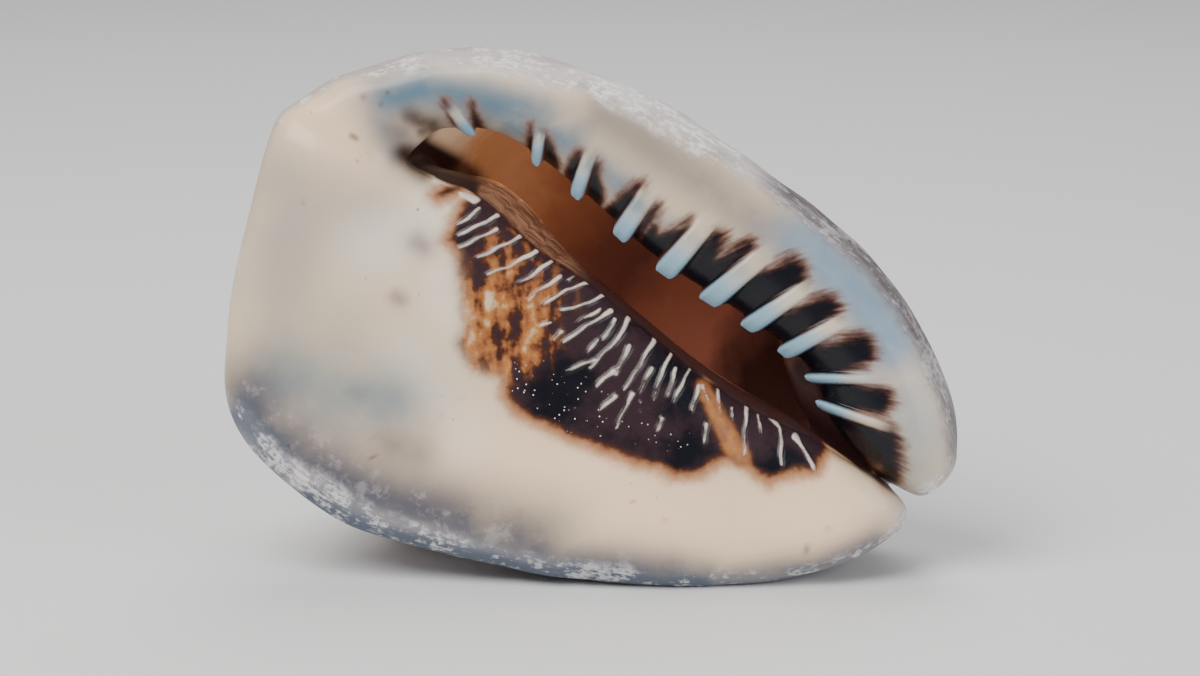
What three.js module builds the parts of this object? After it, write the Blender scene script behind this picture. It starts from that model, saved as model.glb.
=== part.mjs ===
// A king helmet shell, one piece of grown shell, standing on the side of its body whorl.
// Millimetres. X runs to the viewer's right, Y away from the viewer, Z up.
// The surface is one closed net of rings. The rings start on a closing line deep in the body chamber, come
// out through the aperture, cross the face, turn over the rim and end on a closing line along the back.
import * as THREE from "three";

// Driving dimensions
const LEAN = 13 * (Math.PI / 180); // the face tips back this far from upright
const FLAT_DEPTH = 1.6; // the worn resting spot is cut this far into the belly
const WALL = 4.5; // shell wall around the body chamber
const AXIS_FRONT = new THREE.Vector3(77, 31, 29.8); // the coiling axis at the siphon end
const AXIS_APEX = new THREE.Vector3(-88, 58, 98); // and at the tip of the spire
const APEX = 181; // the spire's tip lies this far along the axis

// The face, station by station round the aperture: the aperture's edge (x, z, depth), the rim of the
// face (x, z, depth), and the depth of the face between them. All hold before the shell leans back.
const LIP_STATIONS = [
  // from the hind corner along the outer lip to the siphon notch
  [-50, 115.5, 14, -86, 126, 12, 4],
  [-46, 121, 13, -80, 132, 13, 3],
  [-40, 124.5, 12, -67, 139.5, 15, 1],
  [-24.5, 123, 11, -28.5, 147, 16, 0],
  [-4.5, 109, 10, 13.5, 134, 16, 0],
  [17, 90, 10, 51, 110.5, 16, 0],
  [41, 74, 10, 80, 84.5, 16, 0],
  [58.5, 60, 11, 96, 55.5, 15, 0],
  [64.5, 46, 13, 98.5, 36, 15, 1.5],
  [69, 39.5, 16, 95.5, 29, 18, 4],
  [73, 35.5, 20, 89.5, 24.8, 23, 9],
  [77.4, 30.6, 27, 82, 27.4, 40, 29],
];
const SHIELD_STATIONS = [
  // back from the notch along the columella to the hind corner
  [73.2, 31.9, 19, 85.2, 21.5, 20, 9],
  [70, 34, 15, 82.5, 15.5, 15, 4],
  [59.5, 40.5, 11, 67.5, 6.5, 12, 1],
  [42, 49, 9, 36.5, 0.5, 11, 0],
  [27, 59, 8, 3, 1.6, 11, 0],
  [12, 71.5, 8, -34.5, 8.5, 10, 1],
  [0, 81.5, 8, -70, 20, 9.5, 2],
  [-15, 91.5, 8, -95, 42, 9, 3],
  [-30, 105, 9, -98.5, 70.5, 8, 3],
  [-41, 110, 11, -93.5, 100, 9, 3.5],
];

// Outer lip teeth: tip (x, z), root (x, z), half width
const LIP_TEETH = [
  [-32.9, 122.6, -38.6, 130.4, 1.4],
  [-15.1, 116.4, -13.8, 123.9, 1.4],
  [-4.3, 106.9, 0, 118.5, 1.7],
  [7, 94.8, 16.5, 108.8, 2.3],
  [19.2, 85.3, 33.5, 101.5, 2.6],
  [31.3, 77.8, 48.6, 92.1, 2.6],
  [43.2, 71.6, 59.9, 83.2, 2.1],
  [53.5, 64.8, 69.1, 73.7, 1.9],
  [59.9, 57, 77.2, 56.4, 1.5],
  [61.6, 49.7, 77.8, 44, 1.5],
];
const TOOTH_RISE = 2.2;
const TOOTH_REACH = 2.2; // how far a tooth stands into the aperture

// Columella ridges: tip (x, z), root (x, z). The smallest ones are left out at this size.
const COLUMELLA_RIDGES = [
  [-37.3, 110, -43.7, 110.4],
  [-30.2, 105.3, -36.5, 107],
  [-25.4, 100.7, -36.5, 95],
  [-18.8, 95.3, -30.6, 89],
  [-14.9, 91.3, -28, 84.8],
  [-11, 88.6, -20.2, 82],
  [-8.6, 84.2, -17.3, 77.8],
  [-0.7, 82.9, -13.2, 76.7],
  [4.6, 80.2, -8.4, 75],
  [5.3, 75, -8.1, 66.4],
  [10.2, 74, -0.7, 59.5],
  [9.9, 65.5, 0.8, 55.2],
  [16.9, 67.5, 8.6, 53.9],
  [21.3, 64, 16.1, 51.3],
  [26.2, 59.3, 21.3, 50.2],
  [28.5, 55.2, 26.6, 48.7],
  [33.8, 54.1, 34, 48.2],
  [41.5, 49.4, 40.5, 36.7],
  [48, 46.7, 50.5, 34],
  [54.5, 41.4, 59.4, 32.7],
];
const RIDGE_HALF_WIDTH = 1.5;
const RIDGE_RISE = 1.3;

// Radius of the body about the axis, at distances from the siphon end
const BODY_PROFILE = [
  [-14, 7], [-10, 10], [-2, 13.5], [7, 16.5], [16, 20], [24, 23], [32, 27], [45, 34.5], [60, 43], [75, 50.5],
  [90, 56.5], [105, 60], [118, 61.5], [129, 60.5], [138, 56], [146, 47], [154, 37.5], [162, 28], [170, 18.5],
  [176, 10.5], [APEX, 0],
];
// The body is fuller than that by this much, at its fullest side between the back and the outer lip.
const FULLNESS = [[-14, 0], [10, 5], [30, 9], [50, 10.5], [75, 8], [105, 4], [135, 1], [150, 0]];
const FULLEST_TURN = 145 * (Math.PI / 180);
// Radius of the pillar inside the body chamber, at the same distances
const PILLAR = [[8, 4], [30, 5], [60, 6], [90, 8], [115, 12], [130, 17], [140, 20]];
const CHAMBER_HIND = 139; // the chamber's hind wall
const CHAMBER_FRONT = 20;
const CHAMBER_TURN = 310 * (Math.PI / 180); // how far round the axis the chamber is hollow
const CANAL_TURN = 150 * (Math.PI / 180); // the same behind the siphon notch
const CANAL_SHARE = 0.8; // the chamber runs into the canal from here on
const CHAMBER_TAPER = 0.15; // and how much narrower it is there
const CHAMBER_WIDENS = 0.13; // the share of that turn in which the aperture's outline widens into the chamber

// Knobs on the back, in rows round the axis
const KNOB_ROWS = [
  { at: 132, count: 11, height: 5.5, length: 8.5, phase: 0.2 },
  { at: 104, count: 12, height: 3, length: 7, phase: 0.6 },
  { at: 79, count: 12, height: 2, length: 6, phase: 0.1 },
];
const SPIRE_STEP = 12; // distance between the coils of the spire
const SPIRE_GROOVE = 1.6;

// The back's closing line: distance along the axis against the share of the way round the aperture. Columns
// before the first share all end at the spire's tip.
const CLOSING_LINE = [[0.22, APEX], [0.36, 150], [0.5, 108], [0.7, 58], [0.85, 26], [1, 8]];
const NECK = [-12, 166]; // the back starts between these distances along the axis
const SNOUT_SHARE = 0.84; // past this share of the way round, the columns wrap the siphon end

const SIDE_COLUMNS = 120; // net columns on each side of the aperture
const COARSE = 3; // the rim, the back and the chamber have one column for each so many on the face
const CHAMBER_ROWS = 9;
const CHAMBER_CROWDING = 1.8; // the chamber's rows crowd towards the aperture
const MOUTH_ROWS = 4;
const FACE_ROWS = 4;
const RIM_ROWS = 3;
const BACK_ROWS = 19;

const clamp = (v, lo, hi) => Math.min(hi, Math.max(lo, v));
const mix = (a, b, t) => a + (b - a) * t;
const ease = (t) => {
  const c = clamp(t, 0, 1);
  return c * c * (3 - 2 * c);
};

// Smooth curve through [place, value, value...] knots; slopes are taken from each knot's neighbours.
function smoothTrack(places, rows, period) {
  const count = places.length;
  const wrap = (i) => ((i % count) + count) % count;
  const placeAt = (i) => places[wrap(i)] + period * Math.floor(i / count);
  const rowAt = (i) => rows[wrap(i)];
  const slope = (i, k) => {
    const [before, after] = period ? [i - 1, i + 1] : [Math.max(0, i - 1), Math.min(count - 1, i + 1)];
    return (rowAt(after)[k] - rowAt(before)[k]) / (placeAt(after) - placeAt(before));
  };
  return (at) => {
    const p = period ? at : clamp(at, places[0], places[count - 1]);
    let i = 0;
    while (i < count - (period ? 1 : 2) && placeAt(i + 1) <= p) i += 1;
    const span = placeAt(i + 1) - placeAt(i);
    const t = (p - placeAt(i)) / span;
    const [t2, t3] = [t * t, t * t * t];
    return rowAt(i).map(
      (_, k) =>
        (2 * t3 - 3 * t2 + 1) * rowAt(i)[k] +
        (t3 - 2 * t2 + t) * span * slope(i, k) +
        (3 * t2 - 2 * t3) * rowAt(i + 1)[k] +
        (t3 - t2) * span * slope(i + 1, k),
    );
  };
}
const profileTrack = (knots) => {
  const track = smoothTrack(knots.map((k) => k[0]), knots.map((k) => [k[1]]), 0);
  return (at) => track(at)[0];
};

// The coiling axis and the two directions square to it: towards the viewer, and towards the outer lip
const axis = AXIS_APEX.clone().sub(AXIS_FRONT).normalize();
const frontward = new THREE.Vector3(0, -1, 0).addScaledVector(axis, axis.y).normalize();
const lipward = axis.clone().cross(frontward);
const onAxis = (h) => AXIS_FRONT.clone().addScaledVector(axis, h);
const coilPoint = (h, turn, radius) =>
  onAxis(h).addScaledVector(frontward, radius * Math.cos(turn)).addScaledVector(lipward, radius * Math.sin(turn));
function coilOf(point) {
  const v = point.clone().sub(AXIS_FRONT);
  const [f, l] = [v.dot(frontward), v.dot(lipward)];
  return { h: v.dot(axis), turn: Math.atan2(l, f), radius: Math.hypot(f, l) };
}

const bodyProfile = profileTrack(BODY_PROFILE);
const fullness = profileTrack(FULLNESS);
const pillarRadius = profileTrack(PILLAR);
const closingDistance = profileTrack(CLOSING_LINE);
const bodyRadius = (h, turn) =>
  bodyProfile(h) + fullness(h) * (0.5 + 0.5 * Math.cos(turn - FULLEST_TURN)) ** 2;

function knobRelief(h, turn) {
  const around = turn / (2 * Math.PI);
  return KNOB_ROWS.reduce((sum, row) => {
    const lobe = Math.max(0, Math.cos(2 * Math.PI * (around * row.count + row.phase)));
    return sum + row.height * lobe ** 2 * Math.exp(-(((h - row.at) / row.length) ** 2));
  }, 0);
}
function spireRelief(h, turn) {
  const coil = (h - 146) / SPIRE_STEP - turn / (2 * Math.PI);
  const groove = 1 - Math.abs(Math.sin(Math.PI * coil)) ** 0.6;
  return -SPIRE_GROOVE * groove * ease((h - 144) / 6) * ease((APEX - h) / 8);
}
function bodyPoint(h, turn) {
  const relief = (knobRelief(h, turn) + spireRelief(h, turn)) * ease((APEX - h) / 6);
  return coilPoint(h, turn, Math.max(0, bodyRadius(h, turn) + relief));
}

// Stations joined into one closed track; the place of each is its distance along the aperture's edge.
const stations = [...LIP_STATIONS, ...SHIELD_STATIONS];
const places = [0];
stations.forEach((s, i) => {
  const next = stations[(i + 1) % stations.length];
  places.push(places[i] + Math.hypot(next[0] - s[0], next[1] - s[1]));
});
const perimeter = places.pop();
const notchPlace = places[LIP_STATIONS.length - 1];
const stationAt = smoothTrack(places, stations, perimeter);

// A column of the net: on the lip's side or the shield's, a share of the way from the hind corner to the notch
function columnStation(lip, share) {
  const place = mix(lip ? 0 : perimeter, notchPlace, share);
  const [ax, az, ay, ox, oz, oy, faceDepth] = stationAt(place);
  const width = Math.hypot(ox - ax, oz - az);
  return { lip, share, ax, az, ay, oy, faceDepth, width, out: [(ox - ax) / width, (oz - az) / width] };
}

// Distance from a point of the face to a ridge's centre line, as a share of its half width, and how far along it is
function ridgeShare(x, z, [tipX, tipZ, rootX, rootZ], halfWidth) {
  const [dx, dz] = [tipX - rootX, tipZ - rootZ];
  const length = Math.hypot(dx, dz);
  const along = ((x - rootX) * dx + (z - rootZ) * dz) / length;
  const aside = Math.abs((x - rootX) * dz - (z - rootZ) * dx) / length;
  const before = Math.max(0, -along);
  const past = Math.max(0, along - length - 3);
  return { share: Math.hypot(aside, before, past) / halfWidth, grown: ease((along + 1) / (0.5 * length)) };
}
function ridgeHeight(x, z, ridges, halfWidthOf) {
  return ridges.reduce((most, ridge) => {
    const { share, grown } = ridgeShare(x, z, ridge, halfWidthOf(ridge));
    return Math.max(most, grown * Math.max(0, 1 - share * share));
  }, 0);
}
const toothHeight = (x, z) => ridgeHeight(x, z, LIP_TEETH, (tooth) => tooth[4] * 1.25);
const ridgeHeightAt = (x, z) => ridgeHeight(x, z, COLUMELLA_RIDGES, () => RIDGE_HALF_WIDTH);

// Low swells and hollows of the shield: centre (x, z), radius, height towards the viewer
const SWELLS = [
  [-48, 44, 24, -2.6],
  [-66, 116, 13, 2.4],
  [10, 22, 26, 2.2],
  [-20, 60, 20, 1.2],
];
const swell = (x, z) =>
  SWELLS.reduce((sum, [cx, cz, radius, height]) => sum + height * Math.exp(-((x - cx) ** 2 + (z - cz) ** 2) / radius ** 2), 0);

// A point of the face at a distance out from the aperture's edge
function facePoint(s, distance, depth) {
  const [x, z] = [s.ax + s.out[0] * distance, s.az + s.out[1] * distance];
  const rise = s.lip ? TOOTH_RISE * toothHeight(x, z) : RIDGE_RISE * ridgeHeightAt(x, z);
  return new THREE.Vector3(x, depth - rise - swell(x, z), z);
}
const mouthExtent = (s) => (s.lip ? 0.5 * s.width : Math.min(14, 0.42 * s.width));
const rimExtent = (s) => (s.lip ? 0.45 * s.width : Math.min(12, 0.42 * s.width));

function mouthPoint(s, share) {
  // a quarter of an ellipse from the aperture's edge up to the face
  const angle = (share * Math.PI) / 2;
  const distance = mouthExtent(s) * (1 - Math.cos(angle));
  const point = facePoint(s, distance, mix(s.ay, s.faceDepth, Math.sin(angle)));
  const tooth = s.lip ? TOOTH_REACH * toothHeight(point.x, point.z) : 0.6 * ridgeHeightAt(point.x, point.z);
  const reach = tooth * (1 - share) ** 2;
  return point.add(new THREE.Vector3(-s.out[0] * reach, 0, -s.out[1] * reach));
}
const plainPoint = (s, share) => facePoint(s, mix(mouthExtent(s), s.width - rimExtent(s), share), s.faceDepth);
function rimPoint(s, share) {
  // a quarter of an ellipse from the face over to the rim, then share 1 to 2 curls under it
  const angle = (share * Math.PI) / 2;
  if (share <= 1)
    return facePoint(s, s.width - rimExtent(s) * (1 - Math.sin(angle)), mix(s.oy, s.faceDepth, Math.cos(angle)));
  const under = (share - 1) * (Math.PI / 2);
  const [inward, depth] = s.lip ? [9, 9] : [5, 4];
  const size = clamp(s.width / 20, 0.35, 1);
  return facePoint(s, s.width - inward * size * (1 - Math.cos(under)), s.oy + depth * size * Math.sin(under));
}

// The back: each column leaves the rim's underside and goes round the axis to the closing line.
function backPoint(s, share) {
  const under = rimPoint(s, 2);
  const { h, turn } = coilOf(under);
  const fan = clamp(s.share / CLOSING_LINE[0][0], 0, 1);
  const side = s.lip ? 1 : -1;
  const front = ease((s.share - SNOUT_SHARE) / (1 - SNOUT_SHARE));
  const startTurn = mix(s.share < SNOUT_SHARE ? turn : snoutTurn[side], side * Math.PI, front);
  const endTurn = mix(cornerTurn, side * Math.PI, fan);
  const startH = clamp(h, ...NECK);
  const endH = closingDistance(s.share);
  const hit = bodyPoint(mix(startH, endH, share), mix(startTurn, endTurn, share));
  return under.lerp(hit, ease(share / 0.12));
}
const rimTurn = (lip, share) => coilOf(rimPoint(columnStation(lip, share), 2)).turn;
const cornerTurn = rimTurn(true, 0);
const snoutTurn = { 1: rimTurn(true, SNOUT_SHARE), [-1]: rimTurn(false, SNOUT_SHARE) };

// The chamber: the aperture's outline, carried round the axis and widened into the whorl's own section
function chamberPoint(s, share) {
  const edge = coilOf(new THREE.Vector3(s.ax, s.ay, s.az));
  const lastTurn = mix(CHAMBER_TURN, CANAL_TURN, ease((s.share - CANAL_SHARE) / (1 - CANAL_SHARE)));
  const turn = mix(edge.turn, lastTurn, share);
  const h = mix(CHAMBER_HIND, CHAMBER_FRONT, s.share);
  const [outer, inner] = [bodyRadius(h, turn) - WALL, pillarRadius(h)];
  const ends = Math.sqrt(Math.min(1, s.share / 0.08, (1 - s.share) / 0.08));
  const closing = Math.sqrt(1 - Math.max(0, (share - 0.8) / 0.2) ** 2);
  const half = ((outer - inner) / 2) * ends * closing * (s.lip ? 1 : -1);
  const radius = ((outer + inner) / 2 + half) * (1 - CHAMBER_TAPER * share);
  const widen = ease(share / CHAMBER_WIDENS);
  return coilPoint(mix(edge.h, h, widen), turn, mix(edge.radius, radius, widen));
}

// Rings in order, each with its points; coarse rings skip columns.
const allColumns = Array.from({ length: 2 * SIDE_COLUMNS }, (_, i) => {
  const lip = i <= SIDE_COLUMNS;
  return columnStation(lip, lip ? i / SIDE_COLUMNS : 2 - i / SIDE_COLUMNS);
});
const coarseColumns = allColumns.filter((_, i) => i % COARSE === 0);

const rings = [];
for (let i = CHAMBER_ROWS; i > 0; i -= 1) {
  const columns = i > 1 ? coarseColumns : allColumns;
  rings.push(columns.map((s) => chamberPoint(s, (i / CHAMBER_ROWS) ** CHAMBER_CROWDING)));
}
for (let i = 0; i < MOUTH_ROWS; i += 1) rings.push(allColumns.map((s) => mouthPoint(s, i / MOUTH_ROWS)));
for (let i = 0; i < FACE_ROWS; i += 1) rings.push(allColumns.map((s) => plainPoint(s, i / FACE_ROWS)));
for (let i = 0; i < 2 * RIM_ROWS; i += 1) rings.push(coarseColumns.map((s) => rimPoint(s, i / RIM_ROWS)));
for (let i = 0; i <= BACK_ROWS; i += 1) rings.push(coarseColumns.map((s) => backPoint(s, i / BACK_ROWS)));

// The first and last rings close on themselves: each lip point meets its partner on the shield's side.
function zip(ring) {
  const half = ring.length / 2;
  for (let i = 1; i < half; i += 1) {
    const partner = ring[ring.length - i];
    ring[i].lerp(partner, 0.5);
    partner.copy(ring[i]);
  }
}
zip(rings[0]);
zip(rings[rings.length - 1]);

// Lean the shell back, set its lowest point under the floor by the flat's depth, and wear the belly flat there.
const points = rings.flat();
points.forEach((p) => p.applyAxisAngle(new THREE.Vector3(1, 0, 0), -LEAN));
const lowest = Math.min(...points.map((p) => p.z));
points.forEach((p) => {
  p.z = Math.max(0, p.z - lowest - FLAT_DEPTH);
});
const box = new THREE.Box3().setFromPoints(points);
const middle = box.getCenter(new THREE.Vector3());
points.forEach((p) => p.set(p.x - middle.x, p.y - middle.y, p.z));

// Triangles between two rings, whose counts are equal or differ by the coarse step
function stitch(inner, outer, starts, triangles) {
  const [a, b] = [inner.length, outer.length];
  const steps = Math.max(a, b);
  for (let i = 0; i < steps; i += 1) {
    const [ia, ja] = [Math.floor((i * a) / steps), Math.floor(((i + 1) * a) / steps) % a];
    const [ib, jb] = [Math.floor((i * b) / steps), Math.floor(((i + 1) * b) / steps) % b];
    if (ia !== ja) triangles.push(starts[0] + ia, starts[0] + ja, starts[1] + ib);
    if (ib !== jb) triangles.push(starts[0] + ja, starts[1] + jb, starts[1] + ib);
  }
}
const triangles = [];
let start = 0;
for (let i = 0; i + 1 < rings.length; i += 1) {
  stitch(rings[i], rings[i + 1], [start, start + rings[i].length], triangles);
  start += rings[i].length;
}

// One closed mesh: points that meet on the closing lines are merged and empty triangles dropped.
const keyOf = (p) => p.toArray().map((v) => Math.round(v * 1e4)).join();
const unique = new Map();
const indexOf = points.map((p) => {
  const key = keyOf(p);
  if (!unique.has(key)) unique.set(key, { index: unique.size, point: p });
  return unique.get(key).index;
});
const faces = [];
for (let i = 0; i < triangles.length; i += 3) {
  const [a, b, c] = triangles.slice(i, i + 3).map((t) => indexOf[t]);
  if (a !== b && b !== c && a !== c) faces.push(a, b, c);
}
const geometry = new THREE.BufferGeometry();
geometry.setAttribute(
  "position",
  new THREE.Float32BufferAttribute([...unique.values()].flatMap(({ point }) => point.toArray()), 3),
);
geometry.setIndex(faces);
geometry.computeVertexNormals();

const shellMaterial = new THREE.MeshStandardMaterial({ color: 0xd8cbbb, roughness: 0.35, metalness: 0 });
const shell = new THREE.Mesh(geometry, shellMaterial);
shell.name = "shell";
const helmetShell = new THREE.Group();
helmetShell.add(shell);
export default helmetShell;
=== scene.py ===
import math

import bmesh
import bpy
import numpy as np
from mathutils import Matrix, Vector


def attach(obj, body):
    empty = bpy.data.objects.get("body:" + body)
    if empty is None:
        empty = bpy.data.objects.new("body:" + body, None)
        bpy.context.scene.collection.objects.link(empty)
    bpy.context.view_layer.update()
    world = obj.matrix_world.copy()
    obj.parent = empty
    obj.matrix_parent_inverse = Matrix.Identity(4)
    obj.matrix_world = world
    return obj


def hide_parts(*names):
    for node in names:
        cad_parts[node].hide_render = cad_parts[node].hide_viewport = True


# A worn helmet shell that stands on the side of its body whorl, with its face to the viewer.
# The whole surface is one closed net of rings, worked out in millimetres. The rings start deep in the body
# chamber, come out through the aperture, cross the face, turn over the rim and close along the back.

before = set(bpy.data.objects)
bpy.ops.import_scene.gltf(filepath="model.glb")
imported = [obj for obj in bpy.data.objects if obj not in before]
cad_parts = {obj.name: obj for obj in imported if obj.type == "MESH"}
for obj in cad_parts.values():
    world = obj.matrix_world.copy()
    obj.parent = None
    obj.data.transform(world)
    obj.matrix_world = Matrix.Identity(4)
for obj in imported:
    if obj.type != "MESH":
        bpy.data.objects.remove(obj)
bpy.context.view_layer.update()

shellForm = {
    "lean": 13,  # degrees that the face tips back from upright
    "setDown": (0.1642, -65.6369, 0.5452),  # mm from the leant face to its place on the floor
    "axisFront": (77, 31, 29.8),  # the coiling axis at the siphon end
    "axisApex": (-88, 58, 98),
    "apexAt": 181,  # mm along the axis
    "fullestAt": 145,  # degrees round the axis where the body bulges most
    "lipBlend": 0.1,  # share of a side in which the lip and the shield pass into each other
    # rounded edges: the most mm on the shield, and shares of the face's width on the shield and the lip
    "mouthRound": (14, 0.42, 0.5),
    "rimRound": (12, 0.42, 0.45),
    "toothRise": 1.8,
    "toothTipRise": 2.4,  # the tip stands this much higher
    "toothReach": 3.2,  # how far a tooth stands into the aperture
    "toothPast": 6,  # how far a tooth's path runs on past its tip
    "toothFoot": (1, 1.8),  # starts this far outside a tooth, and is up after this far
    "toothRoot": 0.6,  # share of a tooth in which it rises from its root
    "ridgeRise": 1.2,
    "ridgeFoot": (0.4, 1.2),
    "ridgeWidths": (0.44, 0.14),  # shares of a ridge's listed width at its tip and at its far end
    "ridgeSway": (0.16, 0.14),  # mm to and fro across and up
    "ridgeUneven": 0.12,
    "foldDepth": 0.9,
    "foldWidth": 3.5,
    "curlIn": (5, 9),  # mm that the rim curls in under itself on the shield and the lip
    "curlDeep": (4, 9),
    "curlFull": 20,  # width of the face from which the curl has its full size
    "curlLeast": 0.35,
    "snoutFrom": 0.84,  # share of a side, from the hind corner, where the snout starts
    "backSpan": (-12, 166),  # mm along the axis that the back starts within
    "backBlend": 0.12,
    "wall": 4.5,
    "chamberSpan": (139, 20),  # mm along the axis, at the hind corner and at the notch
    "chamberTurns": (310, 150),  # degrees where the chamber ends, in the whorl and in the canal
    "chamberWiden": 0.13,  # share of its depth in which it widens to the whorl's section
    "chamberShrink": 0.15,
    "chamberCloses": 0.8,  # share of its depth from which its end rounds off
    "canalFrom": 0.8,  # share of a side from which the whorl narrows to the canal
    "ledgeReach": 5.6,  # the columella's inner wall that shows past its ridged edge
    "wobble": 0.35,  # mm of slow unevenness all over
    "wobbleWaves": (7, 24, 60, 14),  # seed, count, longest and shortest wave
    "middle": (-10, 40, 70),  # the unevenness points away from here
    # rows of knobs: distance along the axis, count, height, length, phase
    "knobRows": ((132, 11, 5.5, 8.5, 0.2), (104, 12, 3, 7, 0.6), (79, 12, 2, 6, 0.1)),
    "spireFrom": 146,
    "spireStep": 12,
    "spireGroove": (2.6, 0.6),  # depth, and a sharper bottom with less
    "sideColumns": 320,
    "chamberRows": 22,
    "fineChamberRows": 8,  # those nearest the aperture have all columns
    "lipRows": (42, 6, 22),  # mouth, plain and rim rows of the lip; the shield has as many in all
    "shieldRows": (22, 40, 8),
    "underRows": 10,
    "backRows": 84,
    "weldWithin": 2e-6,  # metres
    "shortestEdge": 1e-7,
}

# Stations round the aperture: its edge (x, z, depth), the rim (x, z, depth), the face's depth between them
lipStations = [
    [-50, 115.5, 14, -86, 126, 12, 4], [-46, 121, 13, -80, 132, 13, 3], [-40, 124.5, 12, -67, 139.5, 15, 1],
    [-24.5, 123, 11, -28.5, 147, 16, 0], [-4.5, 109, 10, 13.5, 134, 16, 0], [17, 90, 10, 51, 110.5, 16, 0],
    [41, 74, 10, 80, 84.5, 16, 0], [58.5, 60, 11, 96, 55.5, 15, 0], [64.5, 46, 13, 98.5, 36, 15, 1.5],
    [69, 39.5, 16, 95.5, 29, 18, 4], [73, 35.5, 20, 89.5, 24.8, 23, 9], [77.4, 30.6, 27, 82, 27.4, 40, 29],
]
shieldStations = [
    [73.2, 31.9, 19, 85.2, 21.5, 20, 9], [70, 34, 15, 82.5, 15.5, 15, 4], [59.5, 40.5, 11, 67.5, 6.5, 12, 1],
    [42, 49, 9, 36.5, 0.5, 11, 0], [27, 59, 8, 3, 1.6, 11, 0], [12, 71.5, 8, -34.5, 8.5, 10, 1],
    [0, 81.5, 8, -70, 20, 9.5, 2], [-15, 91.5, 8, -95, 42, 9, 3], [-30, 105, 9, -98.5, 70.5, 8, 3],
    [-41, 110, 11, -93.5, 100, 9, 3.5],
]
# Teeth of the outer lip: tip (x, z), root (x, z), half width at the tip and at the root
lipTeeth = [
    [-32.9, 122.6, -38.6, 130.4, 1.5, 1.3], [-15.1, 116.4, -13.8, 123.9, 1.3, 1.5],
    [-4.3, 106.9, 0, 118.5, 1.8, 1.6], [7, 94.8, 16.5, 108.8, 2.6, 2.2], [19.2, 85.3, 33.5, 101.5, 3, 2.2],
    [31.3, 77.8, 48.6, 92.1, 3, 2.1], [43.2, 71.6, 59.9, 83.2, 2.4, 1.6],
    [53.5, 64.8, 69.1, 73.7, 2.1, 1.5], [59.9, 57, 78.5, 56.6, 1.2, 1.0], [61.6, 49.7, 80.5, 43.3, 1.2, 1.0],
]
# Ridges of the columella: width, then the points of the ridge from its tip
columellaRidges = [
    (3.4, (-38.5, 110.4), (-42.5, 110.2)), (3, (-31.6, 105.2), (-35.6, 106.8)),
    (1, (-30.2, 102.6), (-36.7, 97.5)), (1.3, (-25.4, 100.7), (-36.5, 95)),
    (1, (-25.9, 96.9), (-35.9, 91.8)), (1.2, (-18.9, 95.3), (-30.8, 89.1)),
    (1.1, (-14.9, 91.3), (-22.4, 86.9), (-28.1, 84.8)), (1.1, (-11.1, 88.6), (-15.1, 85.3), (-20.2, 82.1)),
    (1, (-8.6, 84.2), (-14, 80.7), (-17.3, 77.8)), (0.7, (-2.4, 86.9), (-6.5, 83.4)),
    (1, (-0.8, 82.9), (-7, 80.7), (-13.2, 76.7)), (1.1, (4.6, 80.2), (-1.1, 77.2), (-8.4, 75.1)),
    (0.8, (2.2, 75.6), (-3.8, 72.1)), (1.1, (5.1, 75.1), (-1.6, 71), (-8.1, 66.4)),
    (0.7, (-11.1, 72.1), (-14.9, 70.5)), (0.7, (-8.1, 69.4), (-10.5, 67.2)),
    (1, (5.9, 72.9), (4.3, 69.1), (2.4, 67)), (0.8, (1.4, 67.5), (-1.6, 63.2)),
    (1.1, (10.3, 74), (7, 67.8), (3, 63.7), (-0.8, 59.7)), (0.8, (0.8, 62.1), (-7.6, 58.9)),
    (1, (10, 65.6), (6.2, 58.1)), (1.4, (5.7, 59.1), (0.8, 54.8)), (1.2, (6.2, 52.4), (1.9, 48.3)),
    (1, (16.7, 67.5), (12.7, 60.5), (8.6, 54)), (0.9, (10.8, 52.9), (6.2, 43.7)),
    (0.7, (15.9, 59.9), (12.7, 53.2)), (0.6, (13, 50.8), (13, 50.5)), (0.6, (13, 48.1), (13, 47.8)),
    (0.9, (21.3, 64), (18.1, 57.5), (16.2, 51.3)), (0.9, (18.6, 46.4), (17, 42.9)),
    (0.8, (22.4, 59.7), (20.2, 52.1)), (0.9, (26.2, 59.4), (23.2, 54.3), (21.3, 50.2)),
    (0.9, (28.6, 55.1), (26.5, 48.6)), (0.5, (29.7, 55.1), (30.8, 51.3)), (0.9, (30.2, 44.8), (29.7, 40)),
    (0.8, (33.8, 54), (34, 48.3)), (0.6, (37.3, 48.9), (37.3, 46.4)),
    (0.9, (41.6, 49.4), (40.8, 43.7), (40.5, 36.7)), (0.7, (44.6, 47), (45.1, 42.4)),
    (1.4, (48.1, 46.7), (50.5, 43.5), (50.5, 34)), (1.6, (54.5, 41.3), (56.4, 38.3), (59.4, 32.7)),
]
# Radius of the body, its extra fullness and the pillar's radius, at distances along the axis
bodyKnots = [
    (-14, 7), (-10, 10), (-2, 13.5), (7, 16.5), (16, 20), (24, 23), (32, 27), (45, 34.5), (60, 43),
    (75, 50.5), (90, 56.5), (105, 60), (118, 61.5), (129, 60.5), (138, 56), (146, 47), (154, 37.5),
    (162, 28), (170, 18.5), (176, 10.5), (181, 0),
]
fullnessKnots = [(-14, 0), (10, 5), (30, 9), (50, 10.5), (75, 8), (105, 4), (135, 1), (150, 0)]
pillarKnots = [(8, 4), (30, 5), (60, 6), (90, 8), (115, 12), (130, 17), (140, 20)]
# Where the back closes, along the axis, at shares of a side
closingKnots = [(0.22, 181), (0.36, 150), (0.5, 108), (0.7, 58), (0.85, 26), (1, 8)]
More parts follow.
